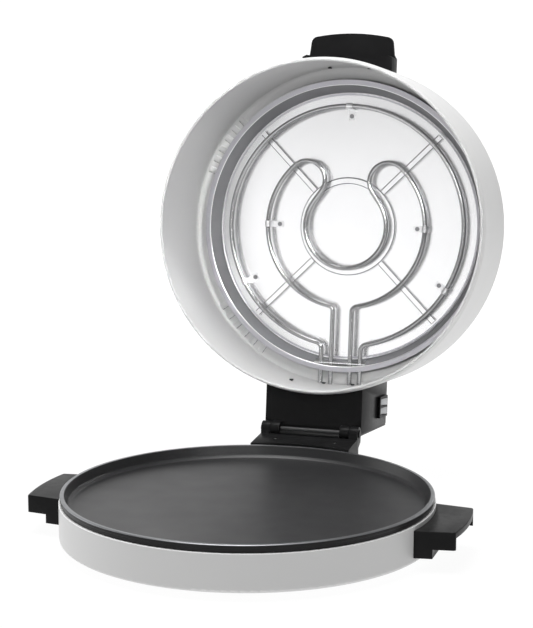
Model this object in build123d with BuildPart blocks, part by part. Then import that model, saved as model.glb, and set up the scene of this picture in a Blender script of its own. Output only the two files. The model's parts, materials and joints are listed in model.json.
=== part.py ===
"""Round countertop mini oven, lid shown open on its rear hinge.

Millimetres, +Z up.  The origin is the centre of the round base on the
countertop: +X right as seen by the user, -Y towards the user, +Y to the hinge.
Everything on the lid is drawn where it sits with the lid closed and is then
swung back by OPEN degrees about the hinge pin, so the rest pose is the open one.
"""
from build123d import *
import math
import os

os.makedirs("parts", exist_ok=True)

# ---------------------------------------------------------------- dimensions
R_BODY = 205.0        # outer radius of the two drums
T_SHEET = 0.8         # sheet of the two drums
Z_FLOOR = 8.0         # underside of the base drum
Z_RIM = 49.0          # top of the base drum
R_PLATE = 203.7       # lip of the baking plate
Z_PLATE = 57.5        # top of that lip
Z_MOUTH = 60.0        # lower edge of the closed lid
Z_SEAM = 191.0        # seam between the wall and the roof of the lid
Z_ROOF = 203.0        # roof annulus of the closed lid
Z_CROWN = 214.0       # raised middle of the roof

YH, ZH = 249.33, 66.24  # hinge pin
OPEN = 96.64            # opening angle
R_KNUCKLE = 8.5
R_PIN = 3.0
HALF_BOX = 61.0         # half width of both hinge housings
ARM_IN = 50.0           # base knuckles lie between ARM_IN and HALF_BOX
LUG_IN, LUG_OUT = 38.0, 49.5  # lid knuckles, each side

Z_HEAT = 196.0        # plane of the lid elements
R_TUBE = 3.0          # element tube
R_OUTER = 154.0       # outer element ring
R_ARC = 104.0         # outer arcs of the inner element
R_INNER = 53.5        # inner circle of the inner element
R_HOOK = 24.4         # hooks that join them
HOOK_X, HOOK_Y = 53.8, -58.6  # centre of the right hook
X_LEAD_OUT, X_LEAD_IN = 26.0, 12.6
Y_LEAD = 218.0

Z_LOW_HEAT = 37.5
R_LOW_HEAT = 125.0
X_LEAD_LOW = 20.0

HANDLE_HALF = 48.6    # half width of a side handle
HANDLE_TOP = 44.2
HANDLE_SCREW_Y, HANDLE_SCREW_Z = 30.0, 30.0
R_FIT = 205.15        # where moulded pieces meet a drum
BRACKET_SCREW_X, BRACKET_SCREW_Z = 42.0, 24.0

LOUVRES = [123.5, 128.0, 132.6, 137.0, 141.5, 145.9,
           -137.5, -141.9, -146.4, -151.0, -155.3, -159.8]
LID_HANDLE_SCREWS = [(-26.0, 188.0), (26.0, 188.0)]
HOUSING_SCREWS = [(-19.3, 188.5), (19.3, 188.5), (-50.5, 147.0), (50.5, 147.0)]
COVER_SCREWS = [(-50.0, 84.0), (50.0, 84.0), (-44.0, 196.8), (44.0, 196.8)]

PIVOT_X, PIVOT_Z = 58.0, 174.0  # rocker pivots with the lid closed
R_ROCKER = 15.8
TILT = 8.0
KEY_UPPER = (227.4, 236.0)      # y range of each key with the lid closed
KEY_LOWER = (216.0, 224.6)

HINGE = Axis((0, YH, ZH), (1, 0, 0))
DOWN = (Align.CENTER, Align.CENTER, Align.MAX)
UP = (Align.CENTER, Align.CENTER, Align.MIN)


def swing(piece):
    """Turn a closed-lid solid back to the open pose."""
    return piece.rotate(HINGE, -OPEN, transform=True)


def corner(sketch, x, y):
    """The sketch corner nearest to a point."""
    return sketch.vertices().sort_by_distance((x, y, 0))[0]


def polar(r, deg):
    return (r * math.cos(math.radians(deg)), r * math.sin(math.radians(deg)))


def tangent_plane(r, deg, z):
    """Plane at a point of a circle whose normal runs along the circle."""
    c, s = math.cos(math.radians(deg)), math.sin(math.radians(deg))
    return Plane(origin=(r * c, r * s, z), x_dir=(c, s, 0), z_dir=(-s, c, 0))


def radial_plane(r, deg, z):
    """Plane at a point of a circle whose normal runs outwards, local y down."""
    c, s = math.cos(math.radians(deg)), math.sin(math.radians(deg))
    return Plane(origin=(r * c, r * s, z), x_dir=(s, -c, 0), z_dir=(c, s, 0))


def save(builder, name):
    builder.part.label = name
    export_step(builder.part, f"parts/{name}.step")
    print(f"{name:26s} solids {len(builder.part.solids()):3d}"
          f"  volume {builder.part.volume:11.1f}")


# ======================================================================= BASE
FEET = [polar(136, a) for a in (60, 120, -60, -120)]
HEELS = [(-45.0, 232.0), (45.0, 232.0)]

with BuildPart() as base_shell:
    with BuildSketch(Plane.XZ) as profile:
        with BuildLine():
            Polyline((182, Z_FLOOR), (R_BODY, Z_FLOOR), (R_BODY, Z_RIM), (200, Z_RIM),
                     (200, Z_RIM - T_SHEET), (R_BODY - T_SHEET, Z_RIM - T_SHEET),
                     (R_BODY - T_SHEET, Z_FLOOR + T_SHEET), (182, Z_FLOOR + T_SHEET),
                     (182, Z_FLOOR))
        make_face()
        fillet(corner(profile, R_BODY, Z_FLOOR), 4.0)
        fillet(corner(profile, R_BODY - T_SHEET, Z_FLOOR + T_SHEET), 4.0 - T_SHEET)
        fillet(corner(profile, R_BODY, Z_RIM), 0.7)
    revolve(axis=Axis.Z)
    # screw holes for the side handles
    for y in (-HANDLE_SCREW_Y, HANDLE_SCREW_Y):
        with Locations(Location((0, y, HANDLE_SCREW_Z), (0, 90, 0))):
            Cylinder(2.2, 420, mode=Mode.SUBTRACT)
    # holes for the hinge bracket screws, the element leads and the supply wires
    for x in (-BRACKET_SCREW_X, BRACKET_SCREW_X):
        with Locations(Location((x, 200, BRACKET_SCREW_Z), (90, 0, 0))):
            Cylinder(2.2, 20, mode=Mode.SUBTRACT)
    for x in (-X_LEAD_LOW, X_LEAD_LOW):
        with Locations(Location((x, 200, Z_LOW_HEAT), (90, 0, 0))):
            Cylinder(4.2, 20, mode=Mode.SUBTRACT)
    with Locations(Location((0, 200, 20), (90, 0, 0))):
        Cylinder(6.0, 20, mode=Mode.SUBTRACT)
    # screw holes of the bottom cover
    with PolarLocations(186, 6, start_angle=20):
        Cylinder(1.7, 30, mode=Mode.SUBTRACT)
save(base_shell, "base_shell")

with BuildPart() as base_bottom_cover:
    with BuildSketch(Plane.XY.offset(Z_FLOOR - 1.0)):
        Circle(190)
        with PolarLocations(150, 12, start_angle=15):
            SlotOverall(44, 4, mode=Mode.SUBTRACT)
        with PolarLocations(96, 12):
            SlotOverall(34, 4, mode=Mode.SUBTRACT)
        with PolarLocations(50, 6, start_angle=15):
            SlotOverall(24, 4, mode=Mode.SUBTRACT)
        with PolarLocations(186, 6, start_angle=20):
            Circle(1.7, mode=Mode.SUBTRACT)
        with Locations(*FEET):
            Circle(2.2, mode=Mode.SUBTRACT)
    extrude(amount=1.0)
    # pressed ring that stiffens the disc
    with BuildSketch(Plane.XY.offset(Z_FLOOR - 1.8)):
        Circle(122.5)
        Circle(119.5, mode=Mode.SUBTRACT)
    extrude(amount=0.8)
save(base_bottom_cover, "base_bottom_cover")

with BuildPart() as base_bottom_screws:
    with BuildSketch(Plane.XY.offset(Z_FLOOR - 2.6)):
        with PolarLocations(186, 6, start_angle=20):
            Circle(3.2)
    extrude(amount=1.6)
    with BuildSketch(Plane.XY.offset(Z_FLOOR - 1.0)):
        with PolarLocations(186, 6, start_angle=20):
            Circle(1.55)
    extrude(amount=8.0)
    with BuildSketch(Plane.XY.offset(Z_FLOOR - 2.6)):
        with PolarLocations(186, 6, start_angle=20):
            Rectangle(3.6, 0.8)
            Rectangle(0.8, 3.6)
    extrude(amount=0.9, mode=Mode.SUBTRACT)
save(base_bottom_screws, "base_bottom_screws")

with BuildPart() as rubber_feet:
    for x, y in FEET:
        with Locations((x, y, 0)):
            Cone(9.5, 11.5, Z_FLOOR - 1.0, align=UP)
            Cylinder(2.1, 20, mode=Mode.SUBTRACT)
            Cylinder(4.6, 3.0, align=UP, mode=Mode.SUBTRACT)
save(rubber_feet, "rubber_feet")

# a fifth foot under the middle of the bottom cover
with BuildPart() as centre_foot:
    Cone(12.0, 13.0, Z_FLOOR - 1.0, align=UP)
    fillet(centre_foot.edges().filter_by(GeomType.CIRCLE).group_by(Axis.Z)[0], 0.8)
save(centre_foot, "centre_foot")

with BuildPart() as foot_screws:
    with BuildSketch(Plane.XY.offset(1.4)):
        with Locations(*FEET):
            Circle(4.2)
    extrude(amount=1.6)
    with BuildSketch(Plane.XY.offset(3.0)):
        with Locations(*FEET):
            Circle(2.0)
    extrude(amount=9.0)
    with BuildSketch(Plane.XY.offset(1.4)):
        with Locations(*FEET):
            Rectangle(4.4, 0.9)
            Rectangle(0.9, 4.4)
    extrude(amount=0.9, mode=Mode.SUBTRACT)
save(foot_screws, "foot_screws")

# dished sheet under the lower element
with BuildPart() as lower_reflector:
    with BuildSketch(Plane.XZ):
        with BuildLine():
            Polyline((0, 20), (180, 20), (190, 36.5), (203.95, 36.5), (203.95, 44),
                     (203.2, 44), (203.2, 37.3), (189.5, 37.3), (179.5, 20.8), (0, 20.8),
                     (0, 20))
        make_face()
    revolve(axis=Axis.Z)
    for x in (-X_LEAD_LOW, X_LEAD_LOW):
        with Locations((x, 190, 40)):
            Box(9.0, 40, 14, mode=Mode.SUBTRACT)
    with Locations((0, 0, 20)):
        Cylinder(1.6, 10, mode=Mode.SUBTRACT)
save(lower_reflector, "lower_reflector")


def tube_loop(radius, lead, bend, y_end, z):
    """Centre line of a ring with two parallel leads, as one planar wire."""
    cx = lead + bend
    cy = math.sqrt((radius + bend) ** 2 - cx ** 2)
    k = radius / (radius + bend)
    tx, ty = cx * k, cy * k
    mid = math.hypot(cx - (tx + lead) / 2, cy - (ty + cy) / 2)
    mx = cx + ((tx + lead) / 2 - cx) * bend / mid
    my = cy + ((ty + cy) / 2 - cy) * bend / mid
    with BuildLine(Plane.XY.offset(z)) as path:
        Line((-lead, y_end), (-lead, cy))
        ThreePointArc((-lead, cy), (-mx, my), (-tx, ty))
        ThreePointArc((-tx, ty), (0, -radius), (tx, ty))
        ThreePointArc((tx, ty), (mx, my), (lead, cy))
        Line((lead, cy), (lead, y_end))
    return path.wire()


low_path = tube_loop(R_LOW_HEAT, X_LEAD_LOW, 12.0, 222.0, Z_LOW_HEAT)
with BuildPart() as lower_heating_element:
    with BuildSketch(Plane(origin=(-X_LEAD_LOW, 222.0, Z_LOW_HEAT), z_dir=(0, -1, 0))):
        Circle(R_TUBE)
    sweep(path=low_path)
save(lower_heating_element, "lower_heating_element")

CLAMPS_LOW = [-90, 30, 150]
with BuildPart() as lower_element_clamps:
    for a in CLAMPS_LOW:
        x, y = polar(R_LOW_HEAT, a)
        with Locations(Location((x, y, 20.8), (0, 0, a))):
            Box(16, 9, 1.0, align=UP)
            Box(4, 9, Z_LOW_HEAT - 20.8, align=UP)
        with Locations(tangent_plane(R_LOW_HEAT, a, Z_LOW_HEAT)):
            Cylinder(R_TUBE + 1.1, 9)
            Cylinder(R_TUBE + 0.25, 12, mode=Mode.SUBTRACT)
        with Locations(Location((x, y, Z_LOW_HEAT), (0, 0, a))):
            Box(12, 12, 4.4, align=UP, mode=Mode.SUBTRACT)
save(lower_element_clamps, "lower_element_clamps")

with BuildPart() as lower_thermostat:
    with Locations((0, 0, 20)):
        Cylinder(8.2, 2.0, align=DOWN)
        Cylinder(7.0, 6.5, align=DOWN)
        Box(26, 7, 0.9, align=DOWN)
    with Locations((-3.5, 0, 13.6), (3.5, 0, 13.6)):
        Box(0.8, 5.0, 3.6, align=DOWN)
save(lower_thermostat, "lower_thermostat")

with BuildPart() as lower_terminal_block:
    with Locations((0, 191.5, Z_FLOOR + T_SHEET)):
        Box(32, 10, 9.5, align=UP)
    with Locations((-10, 191.5, 13.6), (0, 191.5, 13.6), (10, 191.5, 13.6)):
        Box(6, 12, 5, mode=Mode.SUBTRACT)
save(lower_terminal_block, "lower_terminal_block")

with BuildPart() as lower_lead_terminals:
    for x in (-X_LEAD_LOW, X_LEAD_LOW):
        with Locations(Location((x, 222.0, Z_LOW_HEAT), (-90, 0, 0))):
            Cylinder(1.4, 5, align=UP)
        with Locations((x, 230.5, Z_LOW_HEAT)):
            Box(6.3, 8.0, 0.8)
save(lower_lead_terminals, "lower_lead_terminals")

# round plate with a raised, stepped lip that hangs in the rim of the base
with BuildPart() as baking_plate:
    with BuildSketch(Plane.XZ) as profile:
        with BuildLine():
            Polyline((0, 41), (193, 41), (197.3, 45), (198.6, Z_RIM + 0.05),
                     (202.4, Z_RIM + 0.05), (202.4, 55.2), (R_PLATE, 56.0),
                     (R_PLATE, Z_PLATE), (198.8, Z_PLATE), (195.8, 47), (192.5, 43.6),
                     (0, 43.6), (0, 41))
        make_face()
        fillet(corner(profile, 193, 41), 2.5)
        fillet(corner(profile, 197.3, 45), 2.0)
        fillet(corner(profile, 192.5, 43.6), 3.0)
        fillet(corner(profile, 195.8, 47), 2.5)
        fillet(corner(profile, R_PLATE, Z_PLATE), 0.7)
        fillet(corner(profile, 198.8, Z_PLATE), 0.9)
    revolve(axis=Axis.Z)
save(baking_plate, "baking_plate")

# ----- side handles: a hollow moulded grip with an open underside
def grip_half(x, wall=0.0):
    """Half width of a side handle, which widens towards the drum, at distance x."""
    return HANDLE_HALF + (240.0 - x) * math.tan(math.radians(8.0)) - wall


WALL = 3.05
with BuildPart() as side_handle_right:
    with BuildSketch(Plane.XY.offset(15.0)) as outline:
        with BuildLine():
            Polyline((240.0, -HANDLE_HALF), (190, -grip_half(190)), (190, grip_half(190)),
                     (240.0, HANDLE_HALF))
            ThreePointArc((240.0, HANDLE_HALF), (244.6, 0), (240.0, -HANDLE_HALF))
        make_face()
        fillet(corner(outline, 240, -HANDLE_HALF), 3.0)
        fillet(corner(outline, 240, HANDLE_HALF), 3.0)
    extrude(amount=HANDLE_TOP - 15.0)
    Cylinder(R_FIT, 200, mode=Mode.SUBTRACT)
    top_edges = (side_handle_right.faces().sort_by(Axis.Z)[-1].edges()
                 .filter_by(lambda e: (e @ 0.5).X > 209 or abs((e @ 0.5).Y) > 47))
    fillet(top_edges, 1.2)
    # the grip part is shallower than the part at the drum
    with Locations((217.0, 0, 15.0)):
        Box(60, 140, 10.0, align=(Align.MIN, Align.CENTER, Align.MIN), mode=Mode.SUBTRACT)
    # finger space, open downwards and under the outer bar
    with BuildSketch(Plane.XY.offset(10.0)):
        with BuildLine():
            Polyline((260, -grip_half(260, WALL)), (217, -grip_half(217, WALL)),
                     (217, grip_half(217, WALL)), (260, grip_half(260, WALL)),
                     (260, -grip_half(260, WALL)))
        make_face()
    extrude(amount=27.7, mode=Mode.SUBTRACT)
    with BuildSketch(Plane.XY.offset(37.0)):
        with BuildLine():
            Polyline((237, -grip_half(237, WALL)), (217, -grip_half(217, WALL)),
                     (217, grip_half(217, WALL)), (237, grip_half(237, WALL)))
            ThreePointArc((237, grip_half(237, WALL)), (241.4, 0),
                          (237, -grip_half(237, WALL)))
        make_face()
    extrude(amount=4.2, mode=Mode.SUBTRACT)
    # pocket between the mounting wall and the cross wall
    with BuildSketch(Plane.XY.offset(10.0)):
        with BuildLine():
            Polyline((214, -grip_half(214, WALL)), (200, -grip_half(200, WALL)),
                     (200, grip_half(200, WALL)), (214, grip_half(214, WALL)),
                     (214, -grip_half(214, WALL)))
        make_face()
        Circle(R_FIT + 3.0, mode=Mode.SUBTRACT)
    extrude(amount=31.2, mode=Mode.SUBTRACT)
    # screw bosses and their bores
    for y in (-HANDLE_SCREW_Y, HANDLE_SCREW_Y):
        with Locations(Location((205.0, y, HANDLE_SCREW_Z), (0, 90, 0))):
            Cylinder(5.0, 11.5, align=UP)
    # bosses end flush with the drum
    Cylinder(R_FIT, 200, mode=Mode.SUBTRACT)
    for y in (-HANDLE_SCREW_Y, HANDLE_SCREW_Y):
        with Locations(Location((195.0, y, HANDLE_SCREW_Z), (0, 90, 0))):
            Cylinder(2.06, 20.5, align=UP, mode=Mode.SUBTRACT)
save(side_handle_right, "side_handle_right")

with BuildPart() as side_handle_left:
    add(side_handle_right.part)
    mirror(about=Plane.YZ, mode=Mode.REPLACE)
save(side_handle_left, "side_handle_left")

with BuildPart() as side_handle_screws:
    for sx, turn in ((1, 90), (-1, -90)):
        for y in (-HANDLE_SCREW_Y, HANDLE_SCREW_Y):
            with Locations(Location((sx * 198.6, y, HANDLE_SCREW_Z), (0, turn, 0))):
                Cylinder(3.8, 2.4, align=UP)
                Cylinder(2.0, 15.5, align=UP)
                Box(5.0, 0.9, 1.6, mode=Mode.SUBTRACT)
                Box(0.9, 5.0, 1.6, mode=Mode.SUBTRACT)
save(side_handle_screws, "side_handle_screws")

# ----- lower hinge housing behind the base drum
with BuildPart() as hinge_bracket:
    with BuildSketch(Plane.YZ.offset(-HALF_BOX)) as side:
        with BuildLine():
            Polyline((185, 6.5), (246.5, 6.5), (246.5, 52), (244.6, 61.0), (240, 61.0),
                     (208, 58.8), (185, 57.2), (185, 6.5))
        make_face()
        fillet(corner(side, 246.5, 6.5), 2.0)
        fillet(corner(side, 244.6, 61.0), 1.0)
    extrude(amount=2 * HALF_BOX)
    # hollow inside, open downwards
    with BuildSketch(Plane.YZ.offset(-HALF_BOX + 2.5)):
        with BuildLine():
            Polyline((185, 0), (244, 0), (244, 51.5), (241, 58.2), (208, 56.2),
                     (185, 54.6), (185, 0))
        make_face()
    extrude(amount=2 * HALF_BOX - 5.0, mode=Mode.SUBTRACT)
    # wall along the drum
    with BuildSketch(Plane.XY.offset(6.5)):
        with Locations((0, 200)):
            Rectangle(2 * HALF_BOX, 40)
        Circle(210.6, mode=Mode.INTERSECT)
    extrude(amount=49.5)
    # arms that carry the pin
    with BuildSketch(Plane.YZ.offset(-HALF_BOX)):
        with Locations((YH, ZH)):
            Circle(R_KNUCKLE)
        with BuildLine():
            Polyline((YH - R_KNUCKLE, ZH), (240.2, 60.8), (243.8, 50.5), (246.5, 49.5),
                     (256.4, 54.5), (257.4, 60.0), (YH + R_KNUCKLE - 0.02, ZH),
                     (YH - R_KNUCKLE, ZH))
        make_face()
    extrude(amount=HALF_BOX - ARM_IN)
    with BuildSketch(Plane.YZ.offset(ARM_IN)):
        with Locations((YH, ZH)):
            Circle(R_KNUCKLE)
        with BuildLine():
            Polyline((YH - R_KNUCKLE, ZH), (240.2, 60.8), (243.8, 50.5), (246.5, 49.5),
                     (256.4, 54.5), (257.4, 60.0), (YH + R_KNUCKLE - 0.02, ZH),
                     (YH - R_KNUCKLE, ZH))
        make_face()
    extrude(amount=HALF_BOX - ARM_IN)
    # rounded bar between the knuckles
    with Locations(Location((0, 243.9, 62.1), (0, 90, 0))):
        Cylinder(2.8, 75.0)
    # bosses for the two mounting screws and the two cover screws
    for x in (-BRACKET_SCREW_X, BRACKET_SCREW_X):
        with Locations(Location((x, 200, BRACKET_SCREW_Z), (-90, 0, 0))):
            Cylinder(5.0, 24.0, align=UP)
    with Locations((-55, 216, 6.5), (55, 216, 6.5)):
        Cylinder(4.0, 20, align=UP)
    # the drum, with a little more room above its rim
    Cylinder(205.3, 98.4, mode=Mode.SUBTRACT)
    with Locations((0, 0, 49.2)):
        Cylinder(208.0, 40, align=UP, mode=Mode.SUBTRACT)
    # room for the lid knuckles
    for x in (-0.5 * (37.5 + ARM_IN), 0.5 * (37.5 + ARM_IN)):
        with Locations(Location((x, YH, ZH), (0, 90, 0))):
            Cylinder(9.0, ARM_IN - 37.5, mode=Mode.SUBTRACT)
    # bore of the pin
    with Locations(Location((0, YH, ZH), (0, 90, 0))):
        Cylinder(R_PIN + 0.03, 200, mode=Mode.SUBTRACT)
    # bores of the screws, leads and wires
    for x in (-BRACKET_SCREW_X, BRACKET_SCREW_X):
        with Locations(Location((x, 190, BRACKET_SCREW_Z), (-90, 0, 0))):
            Cylinder(2.06, 31.0, align=UP, mode=Mode.SUBTRACT)
    with Locations((-55, 216, 0), (55, 216, 0)):
        Cylinder(1.56, 22, align=UP, mode=Mode.SUBTRACT)
    for x in (-X_LEAD_LOW, X_LEAD_LOW):
        with Locations(Location((x, 190, Z_LOW_HEAT), (-90, 0, 0))):
            Cylinder(4.2, 30, align=UP, mode=Mode.SUBTRACT)
    with Locations(Location((0, 190, 20), (-90, 0, 0))):
        Cylinder(6.0, 30, align=UP, mode=Mode.SUBTRACT)
    # inlet for the supply lead
    with Locations(Location((-30, 240, 25), (-90, 0, 0))):
        Cylinder(5.6, 10, align=UP, mode=Mode.SUBTRACT)
    # two blind screw recesses on top
    with Locations((-37, 223.5, 58.9), (37, 223.5, 58.9)):
        Cylinder(2.6, 5, align=UP, mode=Mode.SUBTRACT)
save(hinge_bracket, "hinge_bracket")

with BuildPart() as hinge_bracket_cover:
    with BuildSketch(Plane.XY.offset(4.0)) as outline:
        with Locations((0, 216.5)):
            Rectangle(2 * HALF_BOX, 60)
        Circle(205.3, mode=Mode.SUBTRACT)
        fillet(corner(outline, HALF_BOX, 246.5), 3.0)
        fillet(corner(outline, -HALF_BOX, 246.5), 3.0)
        with Locations((-55, 216), (55, 216)):
            Circle(1.7, mode=Mode.SUBTRACT)
        with GridLocations(8, 0, 7, 1):
            with Locations((0, 228)):
                SlotOverall(16, 2.6, rotation=90, mode=Mode.SUBTRACT)
    extrude(amount=2.4)
save(hinge_bracket_cover, "hinge_bracket_cover")

with BuildPart() as heel_pads:
    with BuildSketch(Plane.XY) as outline:
        with Locations(*HEELS):
            Circle(7.0)
    extrude(amount=4.0)
    fillet(heel_pads.edges().filter_by(GeomType.CIRCLE).group_by(Axis.Z)[0], 0.8)
save(heel_pads, "heel_pads")

with BuildPart() as hinge_bracket_screws:
    for x in (-BRACKET_SCREW_X, BRACKET_SCREW_X):
        with Locations(Location((x, 196.2, BRACKET_SCREW_Z), (-90, 0, 0))):
            Cylinder(3.8, 2.4, align=UP)
            Cylinder(2.0, 23.0, align=UP)
            Box(5.0, 0.9, 1.6, mode=Mode.SUBTRACT)
            Box(0.9, 5.0, 1.6, mode=Mode.SUBTRACT)
save(hinge_bracket_screws, "hinge_bracket_screws")

with BuildPart() as bracket_cover_screws:
    with BuildSketch(Plane.XY.offset(2.4)):
        with Locations((-55, 216), (55, 216)):
            Circle(3.0)
    extrude(amount=1.6)
    with BuildSketch(Plane.XY.offset(4.0)):
        with Locations((-55, 216), (55, 216)):
            Circle(1.5)
    extrude(amount=14.0)
    with BuildSketch(Plane.XY.offset(2.4)):
        with Locations((-55, 216), (55, 216)):
            Rectangle(3.6, 0.8)
            Rectangle(0.8, 3.6)
    extrude(amount=0.9, mode=Mode.SUBTRACT)
save(bracket_cover_screws, "bracket_cover_screws")

with BuildPart() as bracket_top_screws:
    with BuildSketch(Plane.XY.offset(58.9)):
        with Locations((-37, 223.5), (37, 223.5)):
            Circle(2.3)
    extrude(amount=0.5)
    with BuildSketch(Plane.XY.offset(59.4)):
        with Locations((-37, 223.5), (37, 223.5)):
            Rectangle(3.0, 0.6)
            Rectangle(0.6, 3.0)
    extrude(amount=-0.3, mode=Mode.SUBTRACT)
save(bracket_top_screws, "bracket_top_screws")

with BuildPart() as cord_inlet_bush:
    with Locations(Location((-30, 244.0, 25), (-90, 0, 0))):
        Cylinder(5.55, 2.5, align=UP)
    with Locations(Location((-30, 246.5, 25), (-90, 0, 0))):
        Cylinder(8.0, 2.2, align=UP)
    chamfer(cord_inlet_bush.faces().sort_by(Axis.Y)[-1].edges(), 0.7)
    with Locations(Location((-30, 240.0, 25), (-90, 0, 0))):
        Cylinder(3.6, 12, align=UP, mode=Mode.SUBTRACT)
save(cord_inlet_bush, "cord_inlet_bush")

with BuildPart() as hinge_pin:
    with Locations(Location((0, YH, ZH), (0, 90, 0))):
        Cylinder(R_PIN, 2 * HALF_BOX)
save(hinge_pin, "hinge_pin")

with BuildPart() as hinge_pin_caps:
    with Locations(Location((HALF_BOX, YH, ZH), (0, 90, 0)),
                   Location((-HALF_BOX, YH, ZH), (0, -90, 0))):
        Cylinder(4.8, 1.6, align=UP)
    fillet(hinge_pin_caps.faces().filter_by(
        lambda f: abs(abs(f.center().X) - HALF_BOX - 1.6) < 0.01).edges(), 0.7)
save(hinge_pin_caps, "hinge_pin_caps")

# ======================================================================== LID
LEAD_X = (-X_LEAD_OUT, -X_LEAD_IN, X_LEAD_IN, X_LEAD_OUT)
CLIP_OUT = (-90, 30, 150)
CLIP_IN = (0, 180)

# the whole drum of the lid, which is then parted into its wall and its roof
with BuildPart() as lid_drum:
    with BuildSketch(Plane.XZ) as profile:
        with BuildLine():
            Polyline((203.1, 61.8), (R_BODY, 70), (R_BODY, Z_ROOF), (189.5, Z_ROOF),
                     (183, Z_CROWN), (0, Z_CROWN), (0, Z_CROWN - T_SHEET),
                     (182.5, Z_CROWN - T_SHEET), (189.0, Z_ROOF - T_SHEET),
                     (R_BODY - T_SHEET, Z_ROOF - T_SHEET), (R_BODY - T_SHEET, 70.1),
                     (202.3, 62.0), (203.1, 61.8))
        make_face()
        fillet(corner(profile, R_BODY, Z_ROOF), 8.0)
        fillet(corner(profile, R_BODY - T_SHEET, Z_ROOF - T_SHEET), 8.0 - T_SHEET)
        fillet(corner(profile, 189.5, Z_ROOF), 2.0)
        fillet(corner(profile, 189.0, Z_ROOF - T_SHEET), 2.0 + T_SHEET)
        fillet(corner(profile, 183, Z_CROWN), 4.0)
        fillet(corner(profile, 182.5, Z_CROWN - T_SHEET), 4.0 - T_SHEET)
        fillet(corner(profile, R_BODY, 70), 6.0)
        fillet(corner(profile, R_BODY - T_SHEET, 70.1), 6.0 + T_SHEET)
        # curled hem of the mouth
        with Locations((201.3, Z_MOUTH + 1.8)):
            Circle(1.8)
    revolve(axis=Axis.Z)
    # louvres lanced inwards through the roof annulus
    for a in LOUVRES + [180.0 - b for b in LOUVRES]:
        with BuildSketch(radial_plane(190.4, a, Z_ROOF - T_SHEET)):
            Ellipse(4.2, 2.4)
            Rectangle(10, 3, align=(Align.CENTER, Align.MAX), mode=Mode.SUBTRACT)
        extrude(amount=10.2)
    for a in LOUVRES + [180.0 - b for b in LOUVRES]:
        with BuildSketch(radial_plane(189.4, a, Z_ROOF - T_SHEET)):
            Ellipse(3.4, 1.6)
        extrude(amount=10.4, mode=Mode.SUBTRACT)
    # screw holes of the front handle and of the hinge housing, and lead holes
    for x, z in LID_HANDLE_SCREWS:
        with Locations(Location((x, -200, z), (90, 0, 0))):
            Cylinder(1.7, 20, mode=Mode.SUBTRACT)
    for x, z in HOUSING_SCREWS:
        with Locations(Location((x, 195, z), (90, 0, 0))):
            Cylinder(1.7, 30, mode=Mode.SUBTRACT)
    for x in LEAD_X:
        with Locations(Location((x, 200, Z_HEAT), (90, 0, 0))):
            Cylinder(4.6, 20, mode=Mode.SUBTRACT)

with BuildPart() as lid_wall:
    add(lid_drum.part)
    split(bisect_by=Plane.XY.offset(Z_SEAM), keep=Keep.BOTTOM)
lid_wall.part = swing(lid_wall.part)
save(lid_wall, "lid_wall")

with BuildPart() as lid_roof:
    add(lid_drum.part)
    split(bisect_by=Plane.XY.offset(Z_SEAM), keep=Keep.TOP)
lid_roof.part = swing(lid_roof.part)
save(lid_roof, "lid_roof")

# bright reflector under the roof: a drafted ring with a flange at each end
with BuildPart() as reflector_ring:
    with BuildSketch(Plane.XZ) as profile:
        with BuildLine():
            Polyline((187, 188), (180.3, 188), (171.6, 210), (160, 210), (160, 210.6),
                     (172.0, 210.6), (180.7, 188.6), (187, 188.6), (187, 188))
        make_face()
        fillet(corner(profile, 180.3, 188), 1.6)
        fillet(corner(profile, 180.7, 188.6), 1.0)
        fillet(corner(profile, 171.6, 210), 2.0)
        fillet(corner(profile, 172.0, 210.6), 2.6)
    revolve(axis=Axis.Z)
    # slot for the element leads
    with Locations((0, 175, 196.5)):
        Box(68, 30, 13, mode=Mode.SUBTRACT)
reflector_ring.part = swing(reflector_ring.part)
save(reflector_ring, "reflector_ring")

# and a disc that lies on the inner flange
with BuildPart() as lid_reflector:
    with BuildSketch(Plane.XY.offset(209.4)):
        Circle(168.4)
    extrude(amount=0.6)
    for a in CLIP_OUT:
        with Locations((*polar(R_OUTER - 12.5, a), 209.7)):
            Cylinder(1.7, 4, mode=Mode.SUBTRACT)
    for a in CLIP_IN:
        with Locations((*polar(R_ARC - 12.5, a), 209.7)):
            Cylinder(1.7, 4, mode=Mode.SUBTRACT)
lid_reflector.part = swing(lid_reflector.part)
save(lid_reflector, "lid_reflector")

with BuildPart() as reflector_spacers:
    with BuildSketch(Plane.XY.offset(210.0)):
        with PolarLocations(118, 6, start_angle=15):
            Circle(7)
            Circle(4, mode=Mode.SUBTRACT)
    extrude(amount=Z_CROWN - T_SHEET - 210.0)
reflector_spacers.part = swing(reflector_spacers.part)
save(reflector_spacers, "reflector_spacers")

# thin cross and ring that stiffen the reflector floor
with BuildPart() as element_spider:
    with BuildSketch(Plane.XY.offset(206.5)):
        for a in (45, 135, 225, 315):
            with Locations(Location((*polar(114, a), 0), a)):
                Rectangle(104, 9)
        Circle(63.7)
        Circle(54.0, mode=Mode.SUBTRACT)
    extrude(amount=1.0)
    # arm ends bent down on to the floor
    for a in (45, 135, 225, 315):
        with Locations(Location((*polar(165.4, a), 207.4), (0, 0, a))):
            Box(1.2, 9, 2.0, align=UP)
element_spider.part = swing(element_spider.part)
save(element_spider, "element_spider")

out_path = tube_loop(R_OUTER, X_LEAD_OUT, 9.0, Y_LEAD, Z_HEAT)
with BuildPart() as outer_heating_element:
    with BuildSketch(Plane(origin=(-X_LEAD_OUT, Y_LEAD, Z_HEAT), z_dir=(0, -1, 0))):
        Circle(R_TUBE)
    sweep(path=out_path)
outer_heating_element.part = swing(outer_heating_element.part)
save(outer_heating_element, "outer_heating_element")

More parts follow.
